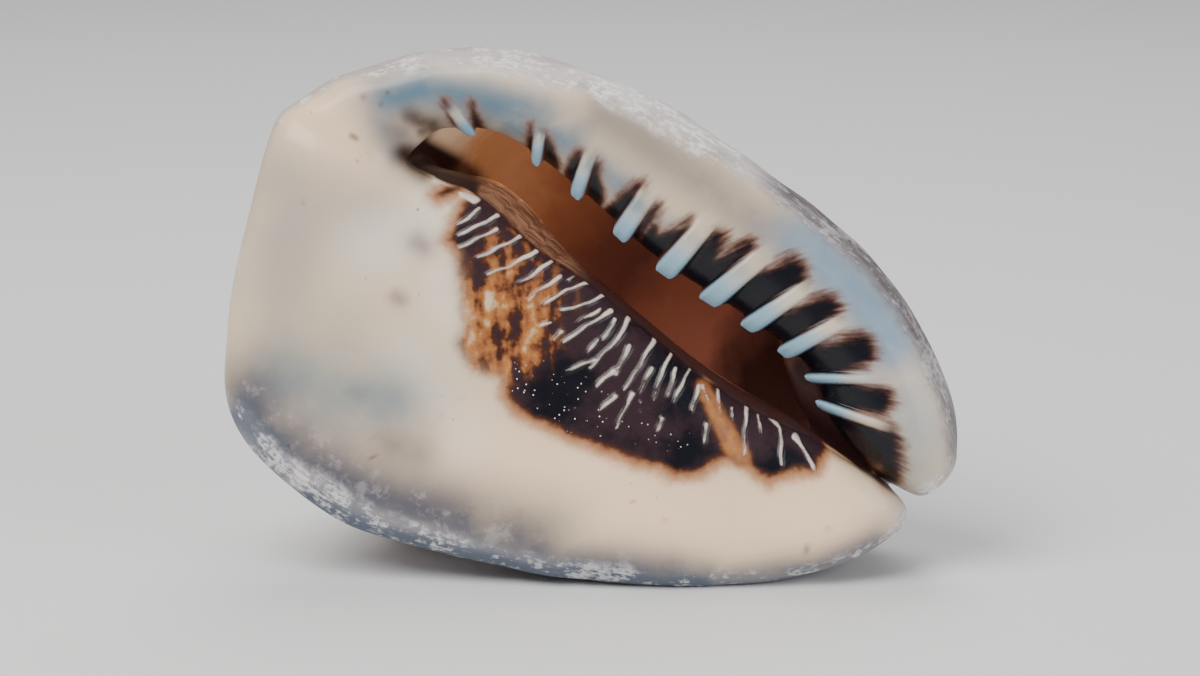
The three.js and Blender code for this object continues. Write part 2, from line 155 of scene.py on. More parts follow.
# Low swells and hollows of the shield: centre (x, z), radius, height
swells = [(-48, 44, 24, -2.6), (-66, 116, 13, 2.4), (10, 22, 26, 2.2), (-20, 60, 20, 1.2)]
foldLine = [(-81, 127), (-66, 117.7), (-50, 109.6)]
nothingNear = -99.0  # mm, a field's value before any path is measured


def unit(t):
    return np.clip(t, 0, 1)


def ease(t):
    # 3t² - 2t³ between 0 and 1
    t = unit(t)
    return t * t * (3 - 2 * t)


def mix(a, b, t):
    # a where t is 0, b where it is 1
    return a + (b - a) * t


def smoothTrack(places, rows, period=0.0):
    # cubic Hermite through the knots: the slope at a knot is the rise over the run between its neighbours
    p, v = np.array(places, float), np.array(rows, float).reshape(len(places), -1)
    if period:
        p = np.concatenate([p[-2:] - period, p, p[:2] + period])
        v = np.concatenate([v[-2:], v, v[:2]])
    before = np.maximum(np.arange(len(p)) - 1, 0)
    after = np.minimum(np.arange(len(p)) + 1, len(p) - 1)
    slope = (v[after] - v[before]) / (p[after] - p[before])[:, None]

    def track(at):
        at = np.clip(np.asarray(at, float), p[0], p[-1])
        i = np.clip(np.searchsorted(p, at, side="right") - 1, 0, len(p) - 2)
        span = p[i + 1] - p[i]
        t = ((at - p[i]) / span)[..., None]
        span = span[..., None]
        return (
            (2 * t**3 - 3 * t**2 + 1) * v[i] + (t**3 - 2 * t**2 + t) * span * slope[i]
            + (3 * t**2 - 2 * t**3) * v[i + 1] + (t**3 - t**2) * span * slope[i + 1]
        )

    return track


def profileTrack(knots):
    # the same for one value at each distance
    track = smoothTrack([k[0] for k in knots], [k[1] for k in knots])
    return lambda at: track(at)[..., 0]


def nearestOn(x, z, start, end):
    # share of the segment at its point nearest to (x, z), and the distance to that point
    (x0, z0), (x1, z1) = start, end
    run = (x1 - x0) ** 2 + (z1 - z0) ** 2
    t = unit(((x - x0) * (x1 - x0) + (z - z0) * (z1 - z0)) / run)
    return t, np.hypot(x - mix(x0, x1, t), z - mix(z0, z1, t))


def pathField(x, z, points, startWidth, endWidth):
    # half width at the nearest point of the path minus the distance to it; positive on the path
    best = np.full(np.shape(x), nothingNear)
    along = np.zeros(np.shape(x))
    for i, (start, end) in enumerate(zip(points, points[1:])):
        t, far = nearestOn(x, z, start, end)
        passed = (i + t) / (len(points) - 1)
        value = mix(startWidth, endWidth, passed) - far
        along = np.where(value > best, passed, along)
        best = np.maximum(best, value)
    return best, along


def outlineField(x, z, corners):
    # distance to a closed outline, positive inside it (odd number of crossings to the right)
    near = np.full(np.shape(x), np.inf)
    inside = np.zeros(np.shape(x), bool)
    for (x0, z0), (x1, z1) in zip(corners, corners[1:] + corners[:1]):
        near = np.minimum(near, nearestOn(x, z, (x0, z0), (x1, z1))[1])
        spans = (z0 > z) != (z1 > z)
        inside ^= spans & (x < x0 + (x1 - x0) * (z - z0) / (z1 - z0))
    return np.where(inside, near, -near)


def blobs(x, z, table):
    # sum of height times exp(-(distance / radius)²)
    return sum(h * np.exp(-((x - cx) ** 2 + (z - cz) ** 2) / r**2) for cx, cz, r, h in table)


def patches(x, z, table):
    # the most of strength times exp(-(distance to the path / radius)²); a single point is a short path
    most = np.zeros(np.shape(x))
    for strength, radius, *points in table:
        path = points if len(points) > 1 else [points[0], (points[0][0] + 0.1, points[0][1])]
        most = np.maximum(most, strength * np.exp(-((pathField(x, z, path, 0, 0)[0] / radius) ** 2)))
    return most


def waves(points, seed, count, longest, shortest):
    # sum of sine waves with random directions and phases, about -1 to 1
    rng = np.random.default_rng(seed)
    total = np.zeros(len(points))
    for _ in range(count):
        way = rng.normal(size=3)
        way /= np.linalg.norm(way)
        length = longest * (shortest / longest) ** rng.random()
        total += np.sin(points @ way * (2 * math.pi / length) + rng.random() * 2 * math.pi)
    return total / math.sqrt(count)


bodyProfile, fullness = profileTrack(bodyKnots), profileTrack(fullnessKnots)
pillarRadius, closingDistance = profileTrack(pillarKnots), profileTrack(closingKnots)
axisFront = np.array(shellForm["axisFront"])
coilAxis = np.array(shellForm["axisApex"]) - axisFront
coilAxis /= np.linalg.norm(coilAxis)
frontward = np.array([0.0, -1.0, 0.0]) + coilAxis * coilAxis[1]
frontward /= np.linalg.norm(frontward)
lipward = np.cross(coilAxis, frontward)


def coilPoint(h, turn, radius):
    # the axis at h, plus radius times (cos turn, sin turn) in the two directions square to it
    h, turn, radius = np.broadcast_arrays(h, turn, radius)
    return (
        axisFront + h[..., None] * coilAxis + (radius * np.cos(turn))[..., None] * frontward
        + (radius * np.sin(turn))[..., None] * lipward
    )


def coilOf(points):
    # distance along the axis, angle round it and distance from it
    v = points - axisFront
    f, side = v @ frontward, v @ lipward
    return v @ coilAxis, np.arctan2(side, f), np.hypot(f, side)


def bodyRadius(h, turn):
    # the profile, fuller on one side by the fullness times (half plus half the cosine)²
    bulge = 0.5 + 0.5 * np.cos(turn - math.radians(shellForm["fullestAt"]))
    return bodyProfile(h) + fullness(h) * bulge**2


def bodyRelief(h, turn):
    # knobs: height times the positive cosine squared round the axis, fading along it as exp(-s²)
    apex, spire = shellForm["apexAt"], shellForm["spireFrom"]
    relief = 0
    for at, count, height, length, phase in shellForm["knobRows"]:
        lobe = np.maximum(0, np.cos(turn * count + 2 * math.pi * phase))
        relief = relief + height * lobe**2 * np.exp(-(((h - at) / length) ** 2))
    # the spire's groove winds one step along the axis for each turn
    coil = (h - spire) / shellForm["spireStep"] - turn / (2 * math.pi)
    depth, sharpness = shellForm["spireGroove"]
    groove = 1 - np.abs(np.sin(math.pi * coil)) ** sharpness
    relief = relief - depth * groove * ease((h - spire + 2) / 6) * ease((apex - h) / 8)
    return relief * ease((apex - h) / 6)


def bodyPoint(h, turn):
    # the back's surface at h along the axis and turn round it
    return coilPoint(h, turn, np.maximum(0, bodyRadius(h, turn) + bodyRelief(h, turn)))


# Columns of the net: first the lip from the hind corner to the notch, then the shield back to the corner
stations = lipStations + shieldStations
steps = [math.hypot(b[0] - a[0], b[1] - a[1]) for a, b in zip(stations, stations[1:] + stations[:1])]
places = np.concatenate([[0], np.cumsum(steps)])
perimeter, notchPlace = places[-1], places[len(lipStations) - 1]
sideColumns = shellForm["sideColumns"]
columnCount = 2 * sideColumns
column = np.arange(columnCount)
onLip = column <= sideColumns
share = np.where(onLip, column / sideColumns, 2 - column / sideColumns)
place = mix(np.where(onLip, 0, perimeter), notchPlace, share)
ax, az, ay, ox, oz, oy, faceDepth = smoothTrack(places[:-1], stations, perimeter)(place).T
width = np.hypot(ox - ax, oz - az)
outX, outZ = (ox - ax) / width, (oz - az) / width
side = np.where(onLip, 1.0, -1.0)
lipness = 0.5 + 0.5 * side * ease(np.minimum(share, 1 - share) / shellForm["lipBlend"])  # 1 on the lip


def roundedWidth(most, shieldShare, lipPart):
    # the lesser of the most and a share of the face's width on the shield, another share on the lip
    return mix(np.minimum(most, shieldShare * width), lipPart * width, lipness)


mouthWide, rimWide = roundedWidth(*shellForm["mouthRound"]), roundedWidth(*shellForm["rimRound"])


def toothFields(x, z):
    # teeth as tapering paths that run past their tips; also how far along one is, and which way it points
    most, tipShare = np.full(np.shape(x), nothingNear), np.zeros(np.shape(x))
    way, past = np.zeros((*np.shape(x), 2)), shellForm["toothPast"]
    for tipX, tipZ, rootX, rootZ, tipWidth, rootWidth in lipTeeth:
        long = math.hypot(tipX - rootX, tipZ - rootZ)
        ux, uz = (tipX - rootX) / long, (tipZ - rootZ) / long
        points = [(rootX, rootZ), (tipX + past * ux, tipZ + past * uz)]
        value, along = pathField(x, z, points, rootWidth, mix(rootWidth, tipWidth, 1 + past / long))
        nearer = value > most
        tipShare = np.where(nearer, along * (long + past) / long, tipShare)
        way = np.where(nearer[..., None], (ux, uz), way)
        most = np.maximum(most, value)
    return most, tipShare, way


def ridgeField(x, z):
    # tapering paths, bent to and fro by sine waves of 6 to 7 mm, with uneven sides
    swayX, swayZ = shellForm["ridgeSway"]
    tipPart, endPart = shellForm["ridgeWidths"]
    most = np.full(np.shape(x), nothingNear)
    bentX, bentZ = x + swayX * np.sin(z * 0.9 + 0.5 * x), z + swayZ * np.sin(x * 1.1 + 1.0)
    for wide, *points in columellaRidges:
        value, along = pathField(bentX, bentZ, points, tipPart * wide, endPart * wide)
        most = np.maximum(most, value - shellForm["ridgeUneven"] * np.sin(along * 7 + points[0][0]))
    return most


def faceRelief(x, z, mouthShare):
    # teeth are flat-topped and stand highest at the aperture, ridges are round-topped
    tooth, tipShare, way = toothFields(x, z)
    ridge = ridgeField(x, z)
    nearEdge = unit(1 - mouthShare)
    foot, shoulder = shellForm["toothFoot"]
    toothLift = ease((tooth + foot) / shoulder) * ease(tipShare / shellForm["toothRoot"])
    foot, shoulder = shellForm["ridgeFoot"]
    ridgeLift = unit((ridge + foot) / shoulder) ** 0.7
    fold = np.exp(-((pathField(x, z, foldLine, 0, 0)[0] / shellForm["foldWidth"]) ** 2))
    lift = (shellForm["toothRise"] + shellForm["toothTipRise"] * nearEdge) * toothLift
    lift = lift + shellForm["ridgeRise"] * ridgeLift + blobs(x, z, swells) - shellForm["foldDepth"] * fold
    reach = way * (shellForm["toothReach"] * toothLift * nearEdge**2)[..., None]
    return lift, reach


def faceRows():
    # zone 0 to 1 is the mouth, 1 to 2 the plain face, 2 to 3 the rim; each row's distance from the edge
    def distances(counts):
        mouth, plain, rim = counts
        zone = np.concatenate([
            np.arange(mouth) / mouth, 1 + (np.arange(plain) / plain) ** 1.25, 2 + np.arange(rim + 1) / rim,
        ])[:, None]
        inner = mouthWide * (1 - np.cos(unit(zone) * math.pi / 2))
        middle = (width - rimWide - mouthWide) * unit(zone - 1)
        outer = rimWide * np.sin(unit(zone - 2) * math.pi / 2)
        return inner + middle + outer

    away = mix(distances(shellForm["shieldRows"]), distances(shellForm["lipRows"]), lipness)
    # quarter ellipses down to the aperture's edge and down to the rim
    shares = away / mouthWide, (width - away) / rimWide
    toEdge, toRim = (np.sqrt(unit(1 - unit(1 - t) ** 2)) for t in shares)
    depth = faceDepth + (ay - faceDepth) * (1 - toEdge) + (oy - faceDepth) * (1 - toRim)
    x, z = ax + outX * away, az + outZ * away
    mouthShare = 1 - np.arccos(toEdge) / (math.pi / 2)
    lift, reach = faceRelief(x, z, mouthShare)
    points = np.stack([x + reach[..., 0], depth - lift, z + reach[..., 1]], -1)
    return points, away


def underRim(turned):
    # the rim curls on under itself by a quarter ellipse; turned runs from 0 to 1
    angle = turned * math.pi / 2
    inward, deep = mix(*shellForm["curlIn"], lipness), mix(*shellForm["curlDeep"], lipness)
    size = np.clip(width / shellForm["curlFull"], shellForm["curlLeast"], 1)
    away = width - inward * size * (1 - np.cos(angle))
    x, z = ax + outX * away, az + outZ * away
    lift, _ = faceRelief(x, z, 1.0)
    return np.stack(np.broadcast_arrays(x, oy + deep * size * np.sin(angle) - lift, z), -1)


def backGrid(turned):
    # each column leaves the rim's underside and goes round the axis to the closing line
    snout = shellForm["snoutFrom"]
    start = underRim(np.array([[1.0]]))[0]
    h, turn, _ = coilOf(start)
    corner = turn[0]
    snoutColumn = round(snout * sideColumns)
    snoutTurn = np.where(onLip, turn[snoutColumn], turn[columnCount - snoutColumn])
    front = ease((share - snout) / (1 - snout))
    startTurn = mix(np.where(share < snout, turn, snoutTurn), side * math.pi, front)
    endTurn = mix(corner, side * math.pi, unit(share / closingKnots[0][0]))
    startH, endH = np.clip(h, *shellForm["backSpan"]), closingDistance(share)
    hit = bodyPoint(mix(startH, endH, turned), mix(startTurn, endTurn, turned))
    return mix(start, hit, ease(turned / shellForm["backBlend"])[..., None])


def chamberGrid(deep):
    # the aperture's edge carried round the axis and widened into the whorl's own section
    canalFrom, closesFrom = shellForm["canalFrom"], shellForm["chamberCloses"]
    canal = ease((share - canalFrom) / (1 - canalFrom))
    edgeH, edgeTurn, edgeRadius = coilOf(np.stack([ax, ay, az], -1))
    whorlEnd, canalEnd = np.radians(shellForm["chamberTurns"])
    turn = mix(edgeTurn, mix(whorlEnd, canalEnd, canal), deep)
    h = mix(*shellForm["chamberSpan"], share)
    outer, inner = bodyRadius(h, turn) - shellForm["wall"], pillarRadius(h)
    ends = np.sqrt(np.minimum(1, np.minimum(share, 1 - share) / 0.08))
    closing = np.sqrt(1 - np.maximum(0, (deep - closesFrom) / (1 - closesFrom)) ** 2)
    half = (outer - inner) / 2 * ends * closing * side
    radius = ((outer + inner) / 2 + half) * (1 - shellForm["chamberShrink"] * deep)
    widen = ease(deep / shellForm["chamberWiden"])
    points = coilPoint(mix(edgeH, h, widen), turn, mix(edgeRadius, radius, widen))
    # a ledge of the columella's inner wall stands into the aperture's hind part, just below the edge
    ledge = shellForm["ledgeReach"] * ease(share / 0.1) * ease((0.4 - share) / 0.2) * ~onLip
    bulge = ease(deep / 0.035) * ease((0.16 - deep) / 0.1) * ledge
    return points - np.stack([outX, 0 * outX, outZ], -1) * bulge[..., None]


def closeRing(ring):
    # the first and last rings close on themselves: each lip point meets its partner on the shield's side
    half = len(ring) // 2
    met = (ring[1:half] + ring[:half:-1]) / 2
    ring[1:half], ring[:half:-1] = met, met


def crowded(count, power):
    # shares from 1 / count to 1, crowded towards 0
    return (np.arange(1, count + 1) / count) ** power


chamberShares = crowded(shellForm["chamberRows"], 1.8)[::-1]
underShares = crowded(shellForm["underRows"], 1.0)
backShares = crowded(shellForm["backRows"], 1.08)
chamberPoints = chamberGrid(chamberShares[:, None])
facePoints, faceAway = faceRows()
underPoints = underRim(underShares[:, None])
backPoints = backGrid(backShares[:, None])
net = np.concatenate([chamberPoints, facePoints, underPoints, backPoints])
print("net worked out:", net.shape)

# How far each point lies out from the aperture's edge and from the rim, in mm over the surface
chamberSteps = np.linalg.norm(np.diff(np.concatenate([chamberPoints, facePoints[:1]]), axis=0), axis=-1)
chamberAway = np.cumsum(chamberSteps[::-1], axis=0)[::-1]
underReach, backReach = 10, 150
underAway = underReach * underShares[:, None] * np.ones(columnCount)
backAway = (underReach + backReach * backShares[:, None]) * np.ones(columnCount)
edgeAway = np.concatenate([-chamberAway, faceAway, width + underAway, width + backAway])
rimAway = np.concatenate([-width * np.ones_like(chamberAway), faceAway - width, underAway, backAway])


def everyRow(row):
    # one value for each column, the same in all rows
    return np.tile(row, (len(net), 1))


# Outline of the columella's dark stain
columellaStain = [
    (-38.9, 94.2), (-35.9, 90.5), (-34.8, 83.4), (-33.8, 72.4), (-34.8, 66.7), (-30.8, 60.5), (-23.5, 58.1),
    (-23, 52.9), (-20.2, 49.1), (-15.1, 46.2), (-7.3, 42.4), (3, 38.9), (10.5, 35.9), (17.8, 34),
    (21.6, 31.6), (29.2, 32.7), (33, 36), (38.9, 36.5), (45.1, 31.6), (47.8, 29.7), (54, 32.1),
    (59.9, 32.7), (62, 38), (66, 44), (50, 56), (30, 72), (10, 88), (-10, 100), (-27, 111), (-34, 104),
]
# Enamel tints, painted shade and reflection: strength, radius and path of each patch. Later ones lie on top.
tints = {
    # painted shade: the left side of the shield darker
    "leftTint": [
        (0.9, 13, (-84, 108), (-82, 80), (-80, 62)), (0.6, 12, (-70, 70)), (0.8, 7, (-54, 37), (-47, 36)),
    ],
    "warmTint": [
        (0.9, 11, (-52, 39), (-25, 38), (-8, 34), (10, 28)), (1, 14, (10, 24), (35, 20), (62, 22)),
        (0.8, 9, (-76, 128), (-60, 117)), (0.9, 6, (-24, 139), (-8, 135)),
    ],
    "paleTint": [
        (0.85, 10, (-58, 93), (-44, 99), (-40, 106)), (0.7, 7, (-41, 84), (-40, 76)),
        (0.6, 9, (-50, 62), (-34, 40)), (0.6, 5, (-46, 141), (-24, 140), (-8, 136)),
    ],
    # painted shade with a blue cast in hollows of the shield
    "hollowTint": [(1, 12, (-68, 52), (-55, 50)), (0.3, 15, (-62, 103)), (1, 9, (-84, 56), (-78, 56))],
    # painted shade along the lower rim
    "duskTint": [
        (1, 11, (-92, 52), (-86, 42), (-76, 34), (-60, 26), (-38, 20), (-16, 13)),
        (0.6, 6, (-8, 9), (20, 6)),
    ],
    "taupeTint": [
        (0.9, 8, (3, 127), (16, 119), (32, 108), (50, 95)), (0.7, 9, (66, 90), (76, 78)),
        (0.75, 6, (-53, 38), (-47, 37)),
    ],
    # painted shade with a blue cast on the lip's right part
    "coolTint": [
        (1, 11, (58, 92), (71, 80), (80, 66)), (0.6, 9, (84, 52), (86, 44)), (0.8, 6, (62, 66), (74, 56)),
    ],
    "lobeTint": [(0.9, 10, (84, 33))],
    # painted shade on the lip's downward slope above the aperture, with a painted blue reflection
    "slopeTint": [
        (0.75, 5, (-57, 126), (-52, 118)), (1, 7.5, (-55, 131), (-46, 134), (-30, 131), (-14, 127)),
        (1, 5.5, (-22, 125), (-6, 120)), (1, 4.5, (0, 114), (8, 108), (12, 103)),
        (0.6, 4, (16, 100), (24, 96), (40, 86)),
    ],
    # a bruised band along the lower rim: its own purple-grey, with a painted blue cast of bounced light
    "bruiseTint": [
        (0.9, 5, (-95, 47), (-84, 33)), (0.8, 4, (30, 2), (60, 6), (76, 13)),
        (1, 5.5, (-76, 25), (-59, 16), (-38, 10), (-19, 6), (3, 4), (30, 2.5)),
    ],
    "mauveTint": [(0.75, 3.4, (-47, 93.6), (-45.5, 92.5)), (0.85, 2.2, (-52.5, 79), (-51.2, 78))],
    # painted shade: a soft dark smudge round the aperture's hind corner
    "hindTint": [
        (1, 3.6, (-51, 118), (-45.5, 112)), (0.95, 3, (-49, 127), (-43, 125)), (0.6, 4.5, (-52, 123)),
        (0.8, 2, (-46, 123.5), (-42.5, 125)),
    ],
    "speckTint": [
        (0.8, 0.8, (-64.3, 121.8), (-63.2, 121.2)), (0.6, 0.8, (-61, 132)), (0.7, 0.5, (-54.8, 133.4)),
        (0.6, 0.5, (-56.4, 130.1)), (0.6, 0.5, (-77.8, 104.2)), (0.5, 0.4, (-63.2, 115.3)),
        (0.8, 0.5, (-59.1, 41.3)), (0.8, 0.5, (-59.1, 35.6)), (0.9, 0.6, (-41.3, 46.2)),
        (0.5, 0.5, (-51.8, 53.2)), (0.5, 0.5, (-35.4, 51.3)), (0.15, 1.8, (-65, 53.5), (-62, 52.5)),
        (0.2, 1.8, (-57, 42), (-53, 38.5)), (0.6, 0.8, (57.2, 11.1)), (0.4, 0.8, (62.9, 17)),
        (0.5, 0.5, (10.8, 24)), (0.5, 0.5, (19.4, 19.2)), (0.6, 0.5, (84.2, 39.2)),
    ],
}
hindDarkPatches = [
    (1.2, 7, (-48, 116), (-38, 111)), (0.9, 3.2, (-33, 108.5)), (0.35, 2.5, (-30, 107), (-22, 102)),
]
rimDuskPatches = [(1, 10, (54, 108), (68, 94), (79, 80), (88, 66)), (0.8, 8, (90, 60), (97, 40))]
dustPatches = [(1, 9, (-16, 54), (-2, 48)), (0.6, 7, (4, 46), (22, 42))]
# Amber zone of the columella: centre (x, z), radius, strength
amberSpots = [
    (-29, 71, 12, 1), (-30, 87, 8, 0.65), (-14, 80, 12, 0.5), (-18, 66, 9, 0.6), (-23, 93, 7, 0.4),
]
# Shares of a side, and how many mm the chalky outside reaches in over the rim there
lipWear = ((0, 0.08, 0.2, 0.6, 0.85, 1), (1, 4, 8, 6, 4.5, 2))
shieldWear = ((0, 0.05, 0.22, 0.27, 0.36, 0.5, 0.7, 0.85, 1), (1, -1, -1, 5, 7, 5.5, 4, 2, 2))
tintReach, duskReach = 14, 25  # mm past the rim in which the tints and the rim's dusk fade

# Dark stains between the lip's teeth: outer end, inner end, half width at each
lipStains = [
    (-39.6, 130.7, -36.4, 126, 0.9, 1.5), (-41.4, 106.2, -36.3, 108.5, 0.8, 1.1),
    (4, 97, 14.5, 89, 1, 2), (14.5, 89, 27, 81.5, 2.2, 3.6),
    (27, 81.5, 40, 74.5, 4, 5), (40, 74.5, 62, 58, 5, 6), (62, 58, 64, 46, 6, 6),
    (16.5, 97.2, 14.6, 92.9, 1.8, 3), (33.4, 94.4, 28.7, 85, 2.8, 4.5), (46, 85, 40, 76, 3, 5),
    (-32.3, 129.9, -30.8, 124.5, 0.9, 1.5), (-16.6, 125, -16.6, 119, 0.8, 1.6),
    (-13, 122.3, -10.8, 114.5, 1.2, 2), (-3.8, 117.2, -6, 109, 1.6, 2.6),
    (0.6, 114.2, 0.8, 105.5, 1.8, 2.8), (12, 108, 4, 99, 2, 3.6), (17.6, 103, 9.5, 92.5, 1.4, 2.6),
    (26, 98, 14.5, 90, 2, 4.2), (31.7, 95, 22, 84, 2.2, 3.4), (42, 92, 26.5, 81.5, 2.2, 4.8),
    (53, 85, 38, 76, 5.2, 5.8), (63, 75.6, 48.5, 69, 4.4, 5.4),
    (71.6, 64.8, 57.5, 60.5, 5, 5.4),
    (76.6, 51, 60, 53.5, 4.4, 5), (77.6, 38, 63.5, 46.5, 5.4, 5.4), (78, 40, 80.8, 31, 4.6, 2.6),
]
callusPath = [(29.7, 55), (34, 46), (39.2, 36)]


def stainField(x, z):
    # distance into the nearest stain, positive inside; the callus that crosses the columella is left out
    deep = outlineField(x, z, columellaStain)
    callus = pathField(x, z, callusPath, 1.2, 2.8)[0]
    deep = np.minimum(deep, -callus)
    for x0, z0, x1, z1, w0, w1 in lipStains:
        deep = np.maximum(deep, pathField(x, z, [(x0, z0), (x1, z1)], w0, w1)[0])
    return deep, callus


def pastRim(reach):
    # exp(-(distance past the rim / reach)²)
    return np.exp(-((np.maximum(0, rimAway) / reach) ** 2))


# Fields in mm or from 0 to 1. Off the face, the stains and teeth of its nearest edge fade with the distance.
onFace = (edgeAway >= 0) & (rimAway <= 0.001)
flatX = np.where(onFace, net[..., 0], np.where(edgeAway < 0, ax, ox))
flatZ = np.where(onFace, net[..., 2], np.where(edgeAway < 0, az, oz))
stain, callus = stainField(flatX, flatZ)
tooth, tipShare, _ = toothFields(flatX, flatZ)
fade = np.maximum(0, -edgeAway) + np.maximum(0, rimAway)
fields = {
    "edgeAway": edgeAway,
    "rimAway": rimAway,
    "alongRim": everyRow(np.cumsum(np.hypot(np.gradient(ox), np.gradient(oz)))),
    "lipShare": everyRow(lipness),
    "stain": np.maximum(stain - 0.8 * fade, -30),
    "callus": callus,
    "tooth": tooth - fade,
    "toothTip": tipShare,
    "ridge": ridgeField(flatX, flatZ) - 2 * fade,
    "amber": unit(blobs(flatX, flatZ, amberSpots)),
    "wornWide": everyRow(np.where(onLip, np.interp(share, *lipWear), np.interp(share, *shieldWear))),
    "hindDark": (edgeAway < 0.5) * patches(net[..., 0], net[..., 2], hindDarkPatches),
    "rimDusk": pastRim(duskReach) * patches(flatX, flatZ, rimDuskPatches),
    "ledge": (edgeAway < 0) * ~onLip * ease((0.4 - share) / 0.1),
    "dustHere": patches(flatX, flatZ, dustPatches),
} | {name: patches(flatX, flatZ, table) * pastRim(tintReach) for name, table in tints.items()}

# Slow unevenness, then the lean, the place on the floor and the flat worn spot
normalWay = net - np.array(shellForm["middle"])
normalWay /= np.linalg.norm(normalWay, axis=-1, keepdims=True)
sway = waves(net.reshape(-1, 3), *shellForm["wobbleWaves"]).reshape(net.shape[:2])
calm = ease((edgeAway - 2) / 14) * (edgeAway > 0)  # none in the aperture and along its edge
net = net + normalWay * (sway * shellForm["wobble"] * calm)[..., None]
lean = math.radians(shellForm["lean"])
leant = np.stack([
    net[..., 0], net[..., 1] * math.cos(lean) + net[..., 2] * math.sin(lean),
    net[..., 2] * math.cos(lean) - net[..., 1] * math.sin(lean),
], -1) + np.array(shellForm["setDown"])
leant[..., 2] = np.maximum(0, leant[..., 2])


def added(name, data):
    # an object of the scene with this data
    thing = bpy.data.objects.new(name, data)
    bpy.context.scene.collection.objects.link(thing)
    return thing


def buildShell():
    # rings with all columns near the aperture and on the face, and every second column elsewhere
    rows = len(leant)
    fineFrom = shellForm["chamberRows"] - shellForm["fineChamberRows"]
    fineTo = rows - shellForm["backRows"]
    closeRing(leant[0])
    closeRing(leant[-1])
    step = [1 if fineFrom <= r < fineTo else 2 for r in range(rows)]
    number = -np.ones((rows, columnCount), int)
    kept = np.zeros((rows, columnCount), bool)
    for r in range(rows):
        kept[r, :: step[r]] = True
    number[kept] = np.arange(kept.sum())
    quads, tris = [], []
    for r in range(rows - 1):
        if step[r] == step[r + 1]:
            a, b = number[r, :: step[r]], number[r + 1, :: step[r]]
            quads.append(np.stack([a, np.roll(a, -1), np.roll(b, -1), b], -1))
            continue
        fine, coarse = (r, r + 1) if step[r] == 1 else (r + 1, r)
        f, c = number[fine], number[coarse, ::2]
        f0, f1, f2, c0, c1 = f[::2], f[1::2], np.roll(f[::2], -1), c, np.roll(c, -1)
        corners = ((f0, f1, c0), (f1, c1, c0), (f1, f2, c1))
        three = np.concatenate([np.stack(corner, -1) for corner in corners])
        tris.append(three if step[r] == 1 else three[:, ::-1])
    faces = np.concatenate(quads).tolist() + np.concatenate(tris).tolist()
    mesh = bpy.data.meshes.new("shellSkin")
    mesh.from_pydata((leant[kept] / 1000).tolist(), [], faces)
    for name, values in fields.items():
        layer = mesh.attributes.new(name, "FLOAT", "POINT")
        layer.data.foreach_set("value", values[kept].astype(np.float32))
    # points that meet on the closing lines become one
    work = bmesh.new()
    work.from_mesh(mesh)
    bmesh.ops.remove_doubles(work, verts=work.verts, dist=shellForm["weldWithin"])
    bmesh.ops.dissolve_degenerate(work, edges=work.edges, dist=shellForm["shortestEdge"])
    work.to_mesh(mesh)
    work.free()
    mesh.polygons.foreach_set("use_smooth", np.ones(len(mesh.polygons), bool))
    mesh.update()
    return added("shellSkin", mesh)


shell = buildShell()
print("shell built:", len(shell.data.vertices), "points")


class Wire:
    # a socket that takes part in sums
    def __init__(self, desk, socket):
        self.desk, self.socket = desk, socket

    def __add__(self, other):
        return self.desk.maths("ADD", self, other)

    __radd__ = __add__

    def __sub__(self, other):
        return self.desk.maths("SUBTRACT", self, other)

    def __rsub__(self, other):
        return self.desk.maths("SUBTRACT", other, self)

    def __mul__(self, other):
        return self.desk.maths("MULTIPLY", self, other)


def toned(colour):
    # a name stands for one of the tones
    return tones[colour] if isinstance(colour, str) else colour


